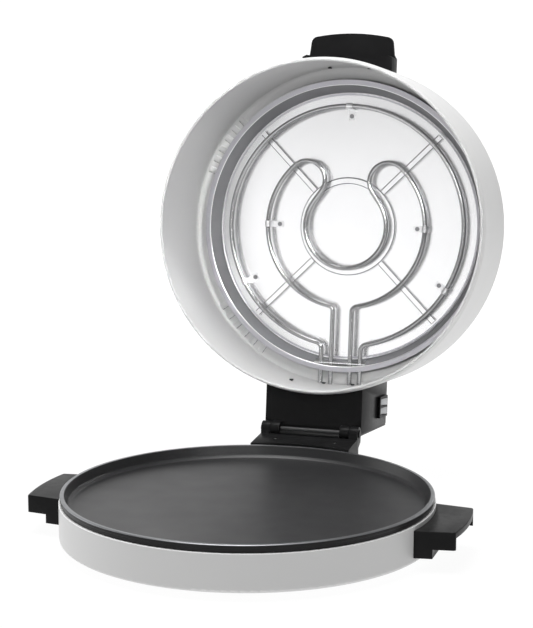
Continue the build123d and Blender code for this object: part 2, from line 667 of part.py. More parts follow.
# inner element: two outer arcs, two hooks and an almost complete inner circle
bend = 7.5
ax = X_LEAD_IN + bend
ay = math.sqrt((R_ARC + bend) ** 2 - ax ** 2)
k = R_ARC / (R_ARC + bend)
hook_dist = math.hypot(HOOK_X, HOOK_Y)
hook_dir = (HOOK_X / hook_dist, HOOK_Y / hook_dist)
far = (HOOK_X + R_HOOK * hook_dir[0], HOOK_Y + R_HOOK * hook_dir[1])
# straight run between the hook and the inner circle, crossing between them
run = math.sqrt(hook_dist ** 2 - (R_HOOK + R_INNER) ** 2)
phi = math.atan2(-HOOK_Y, -HOOK_X) - math.atan2(R_HOOK + R_INNER, run)
nx, ny = math.sin(phi), -math.cos(phi)
if nx < 0:
    nx, ny = -nx, -ny
leave = (HOOK_X - R_HOOK * nx, HOOK_Y - R_HOOK * ny)
arrive = (R_INNER * nx, R_INNER * ny)
a0 = math.atan2(hook_dir[1], hook_dir[0])
a1 = math.atan2(-ny, -nx)
if a1 > a0:
    a1 -= 2 * math.pi
hook_mid = (HOOK_X + R_HOOK * math.cos(0.5 * (a0 + a1)),
            HOOK_Y + R_HOOK * math.sin(0.5 * (a0 + a1)))
bx, by = (ax * k + X_LEAD_IN) / 2 - ax, (ay * k + ay) / 2 - ay
bend_len = math.hypot(bx, by)
bend_mid = (ax + bx * bend / bend_len, ay + by * bend / bend_len)
print("inner element: straight run", round(run, 2),
      "leaves the hook at", [round(v, 2) for v in leave],
      "meets the circle at", [round(v, 2) for v in arrive])
with BuildLine(Plane.XY.offset(Z_HEAT)) as inner_line:
    Line((-X_LEAD_IN, Y_LEAD), (-X_LEAD_IN, ay))
    ThreePointArc((-X_LEAD_IN, ay), (-bend_mid[0], bend_mid[1]), (-ax * k, ay * k))
    ThreePointArc((-ax * k, ay * k), (-R_ARC, 0), (-far[0], far[1]))
    ThreePointArc((-far[0], far[1]), (-hook_mid[0], hook_mid[1]), (-leave[0], leave[1]))
    Line((-leave[0], leave[1]), (-arrive[0], arrive[1]))
    ThreePointArc((-arrive[0], arrive[1]), (0, R_INNER), arrive)
    Line(arrive, leave)
    ThreePointArc(leave, hook_mid, far)
    ThreePointArc(far, (R_ARC, 0), (ax * k, ay * k))
    ThreePointArc((ax * k, ay * k), bend_mid, (X_LEAD_IN, ay))
    Line((X_LEAD_IN, ay), (X_LEAD_IN, Y_LEAD))
with BuildPart() as inner_heating_element:
    with BuildSketch(Plane(origin=(-X_LEAD_IN, Y_LEAD, Z_HEAT), z_dir=(0, -1, 0))):
        Circle(R_TUBE)
    sweep(path=inner_line.wire())
inner_heating_element.part = swing(inner_heating_element.part)
save(inner_heating_element, "inner_heating_element")

# straps that hold the tubes on the reflector floor, each with one rivet
with BuildPart() as element_clips:
    for radius, angles in ((R_OUTER, CLIP_OUT), (R_ARC, CLIP_IN)):
        for a in angles:
            with Locations(tangent_plane(radius, a, Z_HEAT)):
                Cylinder(R_TUBE + 0.9, 8)
            with Locations(Location((*polar(radius - 3.6, a), Z_HEAT), (0, 0, a))):
                Box(0.8, 8, 13.3, align=UP)
            with Locations(Location((*polar(radius - 10.35, a), 208.5), (0, 0, a))):
                Box(14.8, 8, 0.8, align=UP)
            with Locations(tangent_plane(radius, a, Z_HEAT)):
                Cylinder(R_TUBE + 0.2, 12, mode=Mode.SUBTRACT)
            with Locations((*polar(radius - 12.5, a), 209)):
                Cylinder(1.7, 4, mode=Mode.SUBTRACT)
element_clips.part = swing(element_clips.part)
save(element_clips, "element_clips")

with BuildPart() as clip_rivets:
    for radius, angles in ((R_OUTER - 12.5, CLIP_OUT), (R_ARC - 12.5, CLIP_IN)):
        for a in angles:
            with Locations((*polar(radius, a), 208.5)):
                Cylinder(2.8, 1.2, align=DOWN)
            with Locations((*polar(radius, a), 208.4)):
                Cylinder(1.6, 2.6, align=UP)
clip_rivets.part = swing(clip_rivets.part)
save(clip_rivets, "clip_rivets")

with BuildPart() as lead_guide_plate:
    with BuildSketch(Plane.XZ.offset(-176.5)):
        with Locations((0, 196.3)):
            Rectangle(67.4, 11.6)
        with Locations(*[(x, Z_HEAT) for x in LEAD_X]):
            Circle(R_TUBE + 0.15, mode=Mode.SUBTRACT)
    extrude(amount=1.0)
lead_guide_plate.part = swing(lead_guide_plate.part)
save(lead_guide_plate, "lead_guide_plate")

with BuildPart() as lead_bushes:
    for x in LEAD_X:
        with Locations(Location((x, 206.0, Z_HEAT), (-90, 0, 0))):
            Cylinder(4.5, 6.5, align=UP)
            Cylinder(R_TUBE + 0.06, 30, mode=Mode.SUBTRACT)
lead_bushes.part = swing(lead_bushes.part)
save(lead_bushes, "lead_bushes")

with BuildPart() as lead_terminals:
    for x in LEAD_X:
        with Locations(Location((x, Y_LEAD, Z_HEAT), (-90, 0, 0))):
            Cylinder(1.4, 5, align=UP)
        with Locations((x, 226.0, Z_HEAT)):
            Box(6.3, 7.0, 0.8)
lead_terminals.part = swing(lead_terminals.part)
save(lead_terminals, "lead_terminals")

# ----- upper hinge housing with the knuckles of the lid
KEY_MID = 226.0
with BuildPart() as upper_hinge_housing:
    with BuildSketch(Plane.XY.offset(75.0)):
        with Locations((0, 215.15)):
            Rectangle(2 * HALF_BOX, 70.3)
        Circle(205.3, mode=Mode.SUBTRACT)
    extrude(amount=129.0)
    with BuildSketch(Plane.XY.offset(77.5)):
        with Locations((0, 220.2)):
            Rectangle(2 * HALF_BOX - 5.0, 62.0)
        Circle(207.8, mode=Mode.SUBTRACT)
    extrude(amount=124.0, mode=Mode.SUBTRACT)
    # screw bosses: four towards the drum, four for the rear cover
    for x, z in HOUSING_SCREWS:
        with Locations(Location((x, 195, z), (-90, 0, 0))):
            Cylinder(5.0, 28, align=UP)
    for x, z in COVER_SCREWS:
        with Locations(Location((x, 195, z), (-90, 0, 0))):
            Cylinder(4.4, 55.3, align=UP)
    Cylinder(205.3, 500, mode=Mode.SUBTRACT)
    # knuckles under the floor of the housing
    for x in (-LUG_OUT, LUG_IN):
        with BuildSketch(Plane.YZ.offset(x)):
            with Locations((YH, ZH)):
                Circle(R_KNUCKLE)
            with BuildLine():
                Polyline((YH - R_KNUCKLE, ZH), (YH - R_KNUCKLE, 75.5), (250.3, 75.5),
                         (250.3, 74.98), (253.0, 74.98), (256.2, 71.2), (YH + R_KNUCKLE - 0.02, ZH), (YH - R_KNUCKLE, ZH))
            make_face()
        extrude(amount=LUG_OUT - LUG_IN)
    with Locations(Location((0, YH, ZH), (0, 90, 0))):
        Cylinder(R_PIN + 0.07, 200, mode=Mode.SUBTRACT)
    # bores for screws and leads
    for x, z in HOUSING_SCREWS:
        with Locations(Location((x, 190, z), (-90, 0, 0))):
            Cylinder(1.56, 30, align=UP, mode=Mode.SUBTRACT)
    for x, z in COVER_SCREWS:
        with Locations(Location((x, 252, z), (90, 0, 0))):
            Cylinder(1.56, 18, align=UP, mode=Mode.SUBTRACT)
    for x in LEAD_X:
        with Locations(Location((x, 200, Z_HEAT), (90, 0, 0))):
            Cylinder(4.6, 30, mode=Mode.SUBTRACT)
    # window for the switches
    with Locations((HALF_BOX, KEY_MID, PIVOT_Z)):
        Box(12, 23.8, 36.2, mode=Mode.SUBTRACT)
upper_hinge_housing.part = swing(upper_hinge_housing.part)
save(upper_hinge_housing, "upper_hinge_housing")

with BuildPart() as upper_housing_cover:
    with BuildSketch(Plane.XZ.offset(-252.8)) as outline:
        with Locations((0, 139.5)):
            Rectangle(2 * HALF_BOX, 129.0)
        fillet(outline.vertices(), 2.0)
        with Locations(*COVER_SCREWS):
            Circle(1.7, mode=Mode.SUBTRACT)
    extrude(amount=2.5)
    with Locations(*[Location((x, 252.8, z), (90, 0, 0)) for x, z in COVER_SCREWS]):
        Cylinder(3.3, 1.2, align=UP, mode=Mode.SUBTRACT)
    # ventilation slots low in the cover
    for i in range(7):
        with Locations((-24 + 8 * i, 251.5, 100)):
            Box(2.6, 6, 18, mode=Mode.SUBTRACT)
upper_housing_cover.part = swing(upper_housing_cover.part)
save(upper_housing_cover, "upper_housing_cover")

with BuildPart() as housing_cover_screws:
    for x, z in COVER_SCREWS:
        with Locations(Location((x, 252.75, z), (90, 0, 0))):
            Cylinder(3.0, 1.1, align=UP)
            Cylinder(1.5, 14, align=UP)
            Box(3.8, 0.8, 1.2, mode=Mode.SUBTRACT)
            Box(0.8, 3.8, 1.2, mode=Mode.SUBTRACT)
housing_cover_screws.part = swing(housing_cover_screws.part)
save(housing_cover_screws, "housing_cover_screws")

with BuildPart() as upper_housing_screws:
    for x, z in HOUSING_SCREWS:
        y = math.sqrt((R_BODY - T_SHEET) ** 2 - (abs(x) + 2.6) ** 2) - 1.7
        with Locations(Location((x, y, z), (-90, 0, 0))):
            Cylinder(2.6, 1.6, align=UP)
            Cylinder(1.5, 17.0, align=UP)
            Box(3.4, 0.7, 1.2, mode=Mode.SUBTRACT)
            Box(0.7, 3.4, 1.2, mode=Mode.SUBTRACT)
upper_housing_screws.part = swing(upper_housing_screws.part)
save(upper_housing_screws, "upper_housing_screws")

with BuildPart() as upper_terminal_block:
    with Locations((0, 243.3, 150)):
        Box(64, 14, 16)
    with Locations(*[(x, 237.3, 150) for x in (-24, -12, 0, 12, 24)]):
        Box(8, 8, 10, mode=Mode.SUBTRACT)
upper_terminal_block.part = swing(upper_terminal_block.part)
save(upper_terminal_block, "upper_terminal_block")

with BuildPart() as upper_thermostat:
    with Locations(Location((0, 207.9, 105), (-90, 0, 0))):
        Cylinder(8.2, 2.0, align=UP)
        Cylinder(7.0, 8.0, align=UP)
        Box(26, 7, 0.9, align=UP)
    with Locations((-3.5, 217.2, 105), (3.5, 217.2, 105)):
        Box(0.8, 6.5, 5.0)
upper_thermostat.part = swing(upper_thermostat.part)
save(upper_thermostat, "upper_thermostat")

# ----- two rocker switches in the right wall of the housing
with BuildPart() as switch_bezel:
    with BuildSketch(Plane.YZ.offset(HALF_BOX)) as outline:
        with Locations((KEY_MID, PIVOT_Z)):
            Rectangle(27.0, 40.0)
        fillet(outline.vertices(), 2.0)
    extrude(amount=4.0)
    fillet(switch_bezel.faces().sort_by(Axis.X)[-1].edges(), 0.6)
    with BuildSketch(Plane.YZ.offset(50.0)):
        with Locations((KEY_MID, PIVOT_Z)):
            Rectangle(23.6, 36.0)
    extrude(amount=11.0)
    for y0, y1 in (KEY_UPPER, KEY_LOWER):
        with Locations((56.0, 0.5 * (y0 + y1), PIVOT_Z)):
            Box(30, y1 - y0 + 0.6, 2 * (R_ROCKER + 0.3), mode=Mode.SUBTRACT)
        with Locations(Location((PIVOT_X, 0.5 * (y0 + y1), PIVOT_Z), (90, 0, 0))):
            Cylinder(1.56, y1 - y0 + 2.0, mode=Mode.SUBTRACT)
switch_bezel.part = swing(switch_bezel.part)
save(switch_bezel, "switch_bezel")

with BuildPart() as switch_body:
    with Locations((44.0, KEY_MID, PIVOT_Z)):
        Box(12.0, 23.6, 34.0)
    with Locations(*[(35.5, y, z) for y in (220.3, 231.7) for z in (164, 174, 184)]):
        Box(5.0, 0.8, 6.3)
switch_body.part = swing(switch_body.part)
save(switch_body, "switch_body")


def rocker(y0, y1):
    """One rocker key between its trunnions, level."""
    with BuildPart() as key:
        with BuildSketch(Plane.XZ.offset(-y1)):
            with Locations((PIVOT_X, PIVOT_Z)):
                Circle(R_ROCKER)
            with BuildLine():
                Polyline((PIVOT_X - 5.0, PIVOT_Z - 17), (PIVOT_X + 6.4, PIVOT_Z - 17),
                         (PIVOT_X + 4.8, PIVOT_Z), (PIVOT_X + 6.4, PIVOT_Z + 17),
                         (PIVOT_X - 5.0, PIVOT_Z + 17), (PIVOT_X - 5.0, PIVOT_Z - 17))
            make_face(mode=Mode.INTERSECT)
        extrude(amount=y1 - y0)
        with Locations(Location((PIVOT_X, 0.5 * (y0 + y1), PIVOT_Z), (90, 0, 0))):
            Cylinder(1.5, y1 - y0 + 1.7)
    return key


PIVOT = Axis((PIVOT_X, 0, PIVOT_Z), (0, 1, 0))
rocker_key_upper = rocker(*KEY_UPPER)
rocker_key_upper.part = swing(rocker_key_upper.part.rotate(PIVOT, TILT, transform=True))
save(rocker_key_upper, "rocker_key_upper")
rocker_key_lower = rocker(*KEY_LOWER)
rocker_key_lower.part = swing(rocker_key_lower.part.rotate(PIVOT, TILT, transform=True))
save(rocker_key_lower, "rocker_key_lower")

# ----- front handle of the lid
with BuildPart() as lid_handle:
    with BuildSketch(Plane.XY.offset(172.0)):
        with BuildLine():
            Polyline((53.0, -216.6), (58.5, -214.0), (58.5, -185), (-58.5, -185),
                     (-58.5, -214.0), (-53.0, -216.6))
            ThreePointArc((-53.0, -216.6), (0, -211.0), (53.0, -216.6))
        make_face()
    extrude(amount=26.0)
    with BuildSketch(Plane.XY.offset(195.5)) as outline:
        with BuildLine():
            Polyline((53.0, -240.4), (55.5, -219.0), (58.5, -214.0), (58.5, -185),
                     (-58.5, -185), (-58.5, -214.0), (-55.5, -219.0), (-53.0, -240.4))
            ThreePointArc((-53.0, -240.4), (0, -246.0), (53.0, -240.4))
        make_face()
        fillet(corner(outline, 53, -240.4), 8.5)
        fillet(corner(outline, -53, -240.4), 8.5)
    extrude(amount=6.5)
    fillet(lid_handle.faces().sort_by(Axis.Z)[-1].edges().filter_by(
        lambda e: (e @ 0.5).Y < -186), 1.6)
    Cylinder(R_FIT, 600, mode=Mode.SUBTRACT)
    for x, z in LID_HANDLE_SCREWS:
        with Locations(Location((x, -195, z), (90, 0, 0))):
            Cylinder(1.56, 14.5, align=UP, mode=Mode.SUBTRACT)
lid_handle.part = swing(lid_handle.part)
save(lid_handle, "lid_handle")

with BuildPart() as lid_handle_screws:
    for x, z in LID_HANDLE_SCREWS:
        y = math.sqrt((R_BODY - T_SHEET) ** 2 - (abs(x) + 2.6) ** 2) - 1.7
        with Locations(Location((x, -y, z), (90, 0, 0))):
            Cylinder(2.6, 1.6, align=UP)
            Cylinder(1.5, 8.0, align=UP)
            Box(3.4, 0.7, 1.2, mode=Mode.SUBTRACT)
            Box(0.7, 3.4, 1.2, mode=Mode.SUBTRACT)
lid_handle_screws.part = swing(lid_handle_screws.part)
save(lid_handle_screws, "lid_handle_screws")
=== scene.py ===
"""Round countertop mini oven, lid open: looks, light and camera.

Lengths in this file are millimetres until a mesh is written, which is in metres.
Lid pieces are drawn with the lid closed and turned to the open pose by swing().
"""
import json
import math

import bmesh
import bpy
from mathutils import Matrix, Vector


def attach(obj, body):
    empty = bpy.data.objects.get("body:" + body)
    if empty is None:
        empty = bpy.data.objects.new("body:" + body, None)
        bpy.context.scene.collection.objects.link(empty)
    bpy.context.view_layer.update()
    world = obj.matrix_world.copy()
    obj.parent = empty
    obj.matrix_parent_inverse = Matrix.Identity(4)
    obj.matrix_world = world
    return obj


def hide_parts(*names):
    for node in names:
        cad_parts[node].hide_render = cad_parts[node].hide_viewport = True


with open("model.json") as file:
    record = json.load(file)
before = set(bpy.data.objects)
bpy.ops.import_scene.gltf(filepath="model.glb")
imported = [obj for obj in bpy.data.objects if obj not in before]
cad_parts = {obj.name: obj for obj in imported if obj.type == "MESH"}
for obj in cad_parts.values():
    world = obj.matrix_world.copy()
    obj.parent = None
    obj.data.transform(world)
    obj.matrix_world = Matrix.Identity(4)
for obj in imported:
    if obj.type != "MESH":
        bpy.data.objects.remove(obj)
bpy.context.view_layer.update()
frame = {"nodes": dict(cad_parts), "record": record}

scene = bpy.context.scene
scene.view_settings.view_transform = "Standard"
scene.view_settings.look = "None"
MM = 0.001

# ------------------------------------------------------------------ dimensions
R_BODY, T_SHEET = 205.0, 0.8
Z_FLOOR, Z_RIM = 8.0, 49.0
R_PLATE, Z_PLATE = 203.7, 57.5
Z_ROOF, Z_CROWN = 203.0, 214.0
YH, ZH = 249.33, 66.24
OPEN = math.radians(96.64)
HALF_BOX = 61.0
Z_HEAT, R_TUBE = 196.0, 3.0
R_OUTER, R_ARC, R_INNER, R_HOOK = 154.0, 104.0, 53.5, 24.4
HOOK_X, HOOK_Y = 53.8, -58.6
X_LEAD_OUT, X_LEAD_IN, Y_LEAD = 26.0, 12.6, 218.0
LEAD_X = (-X_LEAD_OUT, -X_LEAD_IN, X_LEAD_IN, X_LEAD_OUT)
CLIP_OUT, CLIP_IN = (-90, 30, 150), (0, 180)
LOUVRES = [123.5, 128.0, 132.6, 137.0, 141.5, 145.9,
           -137.5, -141.9, -146.4, -151.0, -155.3, -159.8]
LOUVRES += [180.0 - a for a in LOUVRES]


# ---------------------------------------------------------------------- camera
cam_data = bpy.data.cameras.new("view")
cam_data.sensor_fit = "AUTO"
cam_data.sensor_width = 36.0
cam_data.lens = 101.25
cam_data.clip_start, cam_data.clip_end = 0.05, 100.0
cam = bpy.data.objects.new("view", cam_data)
cam.rotation_mode = "XYZ"
cam.location = (0.57903, -1.77306, 0.57255)
cam.rotation_euler = (math.radians(90.0 - 9.761), 0.0, math.radians(17.448))
scene.collection.objects.link(cam)
scene.camera = cam


# ---------------------------------------------------------------------- shapes
def swing(p):
    x, y, z = p
    c, s = math.cos(OPEN), math.sin(OPEN)
    return (x, YH + (y - YH) * c + (z - ZH) * s, ZH - (y - YH) * s + (z - ZH) * c)


def polar(r, deg):
    return r * math.cos(math.radians(deg)), r * math.sin(math.radians(deg))


def rounded(points, step=12.0):
    """A closed outline from (u, v, radius) corners, with arcs of about step degrees."""
    out = []
    n = len(points)
    for i, (u, v, r) in enumerate(points):
        p = Vector((u, v))
        if r <= 0:
            out.append((u, v))
            continue
        a = Vector(points[i - 1][:2]) - p
        b = Vector(points[(i + 1) % n][:2]) - p
        turn = a.angle(b)
        a.normalize()
        b.normalize()
        cut = r / math.tan(turn / 2)
        mid = (a + b).normalized() * (r / math.sin(turn / 2)) + p
        p0, p1 = p + a * cut, p + b * cut
        v0, v1 = p0 - mid, p1 - mid
        sweep = math.atan2(v0.x * v1.y - v0.y * v1.x, v0.dot(v1))
        k = max(2, int(abs(math.degrees(sweep)) / step + 0.5))
        for j in range(k + 1):
            t = sweep * j / k
            out.append((mid.x + v0.x * math.cos(t) - v0.y * math.sin(t),
                        mid.y + v0.x * math.sin(t) + v0.y * math.cos(t)))
    return out


def lathe(profile, n=240, closed=True):
    """Vertices and faces of an outline turned about Z."""
    verts, rings = [], []
    for r, z in profile:
        if r < 1e-6:
            rings.append([len(verts)] * n)
            verts.append((0.0, 0.0, z))
        else:
            rings.append(list(range(len(verts), len(verts) + n)))
            for i in range(n):
                a = 2 * math.pi * i / n
                verts.append((r * math.cos(a), r * math.sin(a), z))
    faces = []
    m = len(profile)
    for j in range(m if closed else m - 1):
        a, b = rings[j], rings[(j + 1) % m]
        if a[0] == a[1] and b[0] == b[1]:
            continue
        for i in range(n):
            k = (i + 1) % n
            f = [a[i], a[k], b[k], b[i]]
            g = []
            for q in f:
                if q not in g:
                    g.append(q)
            if len(g) > 2:
                faces.append(g)
    return verts, faces


def tube(path, radius, n=20):
    """Round bar along points, with flat ends."""
    pts = [Vector(p) for p in path]
    verts, faces = [], []
    normal = None
    for i, p in enumerate(pts):
        if i == 0:
            t = (pts[1] - p).normalized()
        elif i == len(pts) - 1:
            t = (p - pts[i - 1]).normalized()
        else:
            t = ((pts[i + 1] - p).normalized() + (p - pts[i - 1]).normalized()).normalized()
        if normal is None:
            normal = t.orthogonal().normalized()
        normal = (normal - t * normal.dot(t)).normalized()
        side = t.cross(normal)
        for j in range(n):
            a = 2 * math.pi * j / n
            verts.append(tuple(p + (normal * math.cos(a) + side * math.sin(a)) * radius))
    for i in range(len(pts) - 1):
        for j in range(n):
            k = (j + 1) % n
            faces.append([i * n + j, i * n + k, (i + 1) * n + k, (i + 1) * n + j])
    faces.append(list(range(n)))
    faces.append([(len(pts) - 1) * n + j for j in range(n)])
    return verts, faces


def prism(outline, z0, z1):
    """Upright prism on a closed outline of (x, y) points."""
    n = len(outline)
    verts = [(x, y, z0) for x, y in outline] + [(x, y, z1) for x, y in outline]
    faces = [list(range(n)), list(range(n, 2 * n))]
    faces += [[i, (i + 1) % n, n + (i + 1) % n, n + i] for i in range(n)]
    return verts, faces


def merge(*parts):
    verts, faces = [], []
    for v, f in parts:
        k = len(verts)
        verts += list(v)
        faces += [[i + k for i in g] for g in f]
    return verts, faces


def place(shape, origin, x_dir, z_dir):
    """Move a shape from its own axes to a plane given by origin, x and z."""
    x = Vector(x_dir).normalized()
    z = Vector(z_dir).normalized()
    x = (x - z * x.dot(z)).normalized()
    y = z.cross(x)
    o = Vector(origin)
    return [tuple(o + x * a + y * b + z * c) for a, b, c in shape[0]], shape[1]


def piece(name, shape, body, material, replaces=(), lid=False, sharp=38.0,
          bevel=0.0, segments=2):
    """Write a mesh piece, ride it on its body and hide the nodes it stands in for."""
    verts = [swing(v) if lid else v for v in shape[0]]
    mesh = bpy.data.meshes.new(name)
    mesh.from_pydata([(x * MM, y * MM, z * MM) for x, y, z in verts], [], shape[1])
    bm = bmesh.new()
    bm.from_mesh(mesh)
    bmesh.ops.remove_doubles(bm, verts=bm.verts, dist=1e-7)
    bmesh.ops.recalc_face_normals(bm, faces=bm.faces)
    bm.to_mesh(mesh)
    bm.free()
    ob = bpy.data.objects.new(name, mesh)
    scene.collection.objects.link(ob)
    finish_mesh(ob, material, sharp, bevel, segments)
    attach(ob, body)
    if replaces:
        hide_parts(*replaces)
    return ob


def finish_mesh(ob, material, sharp=38.0, bevel=0.0, segments=2):
    ob.data.materials.clear()
    ob.data.materials.append(material)
    if bevel > 0:
        mod = ob.modifiers.new("edges", "BEVEL")
        mod.width = bevel * MM
        mod.segments = segments
        mod.limit_method = "ANGLE"
        mod.angle_limit = math.radians(32)
        mod.use_clamp_overlap = True
        apply_modifiers(ob)
    ob.data.shade_smooth()
    ob.data.set_sharp_from_angle(angle=math.radians(sharp))


def apply_modifiers(ob):
    dg = bpy.context.evaluated_depsgraph_get()
    dg.update()
    mesh = bpy.data.meshes.new_from_object(ob.evaluated_get(dg))
    old = ob.data
    ob.modifiers.clear()
    ob.data = mesh
    bpy.data.meshes.remove(old)


def softened(node, name, body, material, bevel=0.5, segments=2, sharp=38.0):
    """A copy of a node's solid with its edges broken, as a moulded piece has them."""
    source = frame["nodes"][node].data
    bm = bmesh.new()
    bm.from_mesh(source)
    bmesh.ops.remove_doubles(bm, verts=bm.verts, dist=2e-6)
    bmesh.ops.dissolve_limit(bm, angle_limit=math.radians(0.6), verts=bm.verts,
                             edges=bm.edges, delimit=set())
    bmesh.ops.recalc_face_normals(bm, faces=bm.faces)
    mesh = bpy.data.meshes.new(name)
    bm.to_mesh(mesh)
    bm.free()
    ob = bpy.data.objects.new(name, mesh)
    scene.collection.objects.link(ob)
    finish_mesh(ob, material, sharp, bevel, segments)
    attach(ob, body)
    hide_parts(node)
    return ob


# ------------------------------------------------------------------- materials
def copied(node, name, body, material):
    """A copy of a node's mesh, whose faces can carry more than one finish."""
    ob = bpy.data.objects.new(name, frame["nodes"][node].data.copy())
    scene.collection.objects.link(ob)
    ob.data.materials.clear()
    ob.data.materials.append(material)
    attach(ob, body)
    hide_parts(node)
    return ob


def nodes_of(name):
    m = bpy.data.materials.new(name)
    m.use_nodes = True
    nt = m.node_tree
    nt.nodes.clear()
    out = nt.nodes.new("ShaderNodeOutputMaterial")
    bsdf = nt.nodes.new("ShaderNodeBsdfPrincipled")
    nt.links.new(bsdf.outputs["BSDF"], out.inputs["Surface"])
    coord = nt.nodes.new("ShaderNodeTexCoord")
    return m, nt, bsdf, coord.outputs["Object"]


def noise(nt, vector, scale, detail=3.0, roughness=0.55, stretch=None):
    if stretch:
        mp = nt.nodes.new("ShaderNodeMapping")
        mp.inputs["Scale"].default_value = stretch
        nt.links.new(vector, mp.inputs["Vector"])
        vector = mp.outputs["Vector"]
    n = nt.nodes.new("ShaderNodeTexNoise")
    n.inputs["Scale"].default_value = scale
    n.inputs["Detail"].default_value = detail
    n.inputs["Roughness"].default_value = roughness
    nt.links.new(vector, n.inputs["Vector"])
    return n.outputs["Fac"]


def ramp(nt, value, low, high, a=0.35, b=0.65):
    r = nt.nodes.new("ShaderNodeValToRGB")
    r.color_ramp.elements[0].position = a
    r.color_ramp.elements[0].color = (*low, 1.0)
    r.color_ramp.elements[1].position = b
    r.color_ramp.elements[1].color = (*high, 1.0)
    nt.links.new(value, r.inputs["Fac"])
    return r.outputs["Color"]


def span(nt, value, lo, hi, a=0.3, b=0.7):
    r = nt.nodes.new("ShaderNodeMapRange")
    r.inputs["From Min"].default_value = a
    r.inputs["From Max"].default_value = b
    r.inputs["To Min"].default_value = lo
    r.inputs["To Max"].default_value = hi
    nt.links.new(value, r.inputs["Value"])
    return r.outputs["Result"]


def bump(nt, bsdf, height, strength, distance, previous=None):
    b = nt.nodes.new("ShaderNodeBump")
    b.inputs["Strength"].default_value = strength
    b.inputs["Distance"].default_value = distance
    nt.links.new(height, b.inputs["Height"])
    if previous is not None:
        nt.links.new(previous, b.inputs["Normal"])
    nt.links.new(b.outputs["Normal"], bsdf.inputs["Normal"])
    return b.outputs["Normal"]


def painted(name, low, high, rough=(0.34, 0.37), coat=0.06):
    """Gloss stoved paint: faint unevenness of colour and a fine orange peel."""
    m, nt, bsdf, co = nodes_of(name)
    nt.links.new(ramp(nt, noise(nt, co, 9.0), low, high), bsdf.inputs["Base Color"])
    nt.links.new(span(nt, noise(nt, co, 30.0, 1.0), *rough), bsdf.inputs["Roughness"])
    bsdf.inputs["Specular IOR Level"].default_value = 0.35
    bsdf.inputs["Coat Weight"].default_value = coat
    bsdf.inputs["Coat Roughness"].default_value = 0.15
    bump(nt, bsdf, noise(nt, co, 420.0, 1.0), 0.02, 0.0001)
    return m


def moulded(name, low, high, rough=(0.36, 0.48), grain=2600.0, depth=0.16, coat=0.0,
            spec=0.5):
    """Moulded plastic with a spark-eroded grain."""
    m, nt, bsdf, co = nodes_of(name)
    nt.links.new(ramp(nt, noise(nt, co, 45.0), low, high), bsdf.inputs["Base Color"])
    nt.links.new(span(nt, noise(nt, co, 130.0), *rough), bsdf.inputs["Roughness"])
    bsdf.inputs["Specular IOR Level"].default_value = spec
    bsdf.inputs["Coat Weight"].default_value = coat
    bsdf.inputs["Coat Roughness"].default_value = 0.12
    bump(nt, bsdf, noise(nt, co, grain, 2.0, 0.6), depth, 0.00012)
    return m


def metal(name, low, high, rough=(0.18, 0.28), stretch=None, scale=300.0, depth=0.05,
          distance=0.0002):
    """Bare sheet, bar or wire with rolling marks."""
    m, nt, bsdf, co = nodes_of(name)
    bsdf.inputs["Metallic"].default_value = 1.0
    nt.links.new(ramp(nt, noise(nt, co, 16.0), low, high), bsdf.inputs["Base Color"])
    nt.links.new(span(nt, noise(nt, co, scale * 0.25, stretch=stretch), *rough),
                 bsdf.inputs["Roughness"])
    bump(nt, bsdf, noise(nt, co, scale, 3.0, 0.6, stretch), depth, distance)
    return m


white = painted("white_paint", (0.660, 0.660, 0.658), (0.670, 0.670, 0.668))
black = moulded("black_plastic", (0.0105, 0.0105, 0.0108), (0.0130, 0.0130, 0.0134),
                (0.30, 0.36), depth=0.10, spec=0.07)
black_gloss = moulded("black_gloss_plastic", (0.004, 0.004, 0.0042), (0.006, 0.006, 0.0062),
                      (0.34, 0.40), 1200.0, 0.04, 0.0, 0.06)
grey_key = moulded("grey_key_plastic", (0.44, 0.45, 0.46), (0.50, 0.51, 0.52),
                   (0.30, 0.40), 1800.0, 0.05)
rubber = moulded("rubber", (0.022, 0.022, 0.022), (0.032, 0.032, 0.032), (0.7, 0.85),
                 1500.0, 0.2, spec=0.3)
terminal = moulded("terminal_plastic", (0.72, 0.70, 0.64), (0.78, 0.76, 0.71),
                   (0.4, 0.5), 1500.0, 0.06)
ceramic = moulded("ceramic", (0.30, 0.28, 0.25), (0.38, 0.36, 0.33), (0.5, 0.65),
                  900.0, 0.12)
mirror_sheet = metal("bright_sheet", (0.970, 0.970, 0.980), (0.975, 0.975, 0.985),
                     (0.245, 0.255), None, 260.0, 0.003)
clip_steel = metal("clip_nickel", (0.90, 0.90, 0.91), (0.94, 0.94, 0.95), (0.30, 0.36),
                   None, 500.0, 0.02)
rivet_steel = metal("rivet_steel", (0.26, 0.26, 0.27), (0.34, 0.34, 0.35), (0.34, 0.44),
                    None, 700.0, 0.05)
ring_sheet = metal("drawn_sheet", (0.58, 0.57, 0.61), (0.60, 0.59, 0.63), (0.40, 0.44),
                   None, 260.0, 0.003)
# painted shade: a dark grey copy of the drawn sheet for the ring's side wall
ring_side_painted_shade = moulded("drawn_side_painted_shade", (0.225, 0.225, 0.235), (0.245, 0.245, 0.255),
                    (0.46, 0.52), 900.0, 0.02, spec=0.35)
# painted light: a lighter copy of the white paint for the shaded roof channel
roof_painted_light = painted("white_paint_painted_light", (0.780, 0.780, 0.777), (0.790, 0.790, 0.787))
# painted highlight: near-white paint for edges turned up towards the lamps
painted_highlight_white = painted("painted_highlight_white_edge", (0.96, 0.96, 0.96), (0.97, 0.97, 0.97))
# painted shade: dark paint for louvre edges turned down
louvre_painted_shade = painted("louvre_painted_shaded_edge", (0.30, 0.30, 0.31), (0.33, 0.33, 0.34))
# painted highlight: a bright copy of the drawn sheet for the ring's bends
ring_bend_painted_highlight = metal("drawn_bend_painted_highlight", (0.93, 0.93, 0.94), (0.95, 0.95, 0.96), (0.30, 0.34),
                  None, 260.0, 0.003)
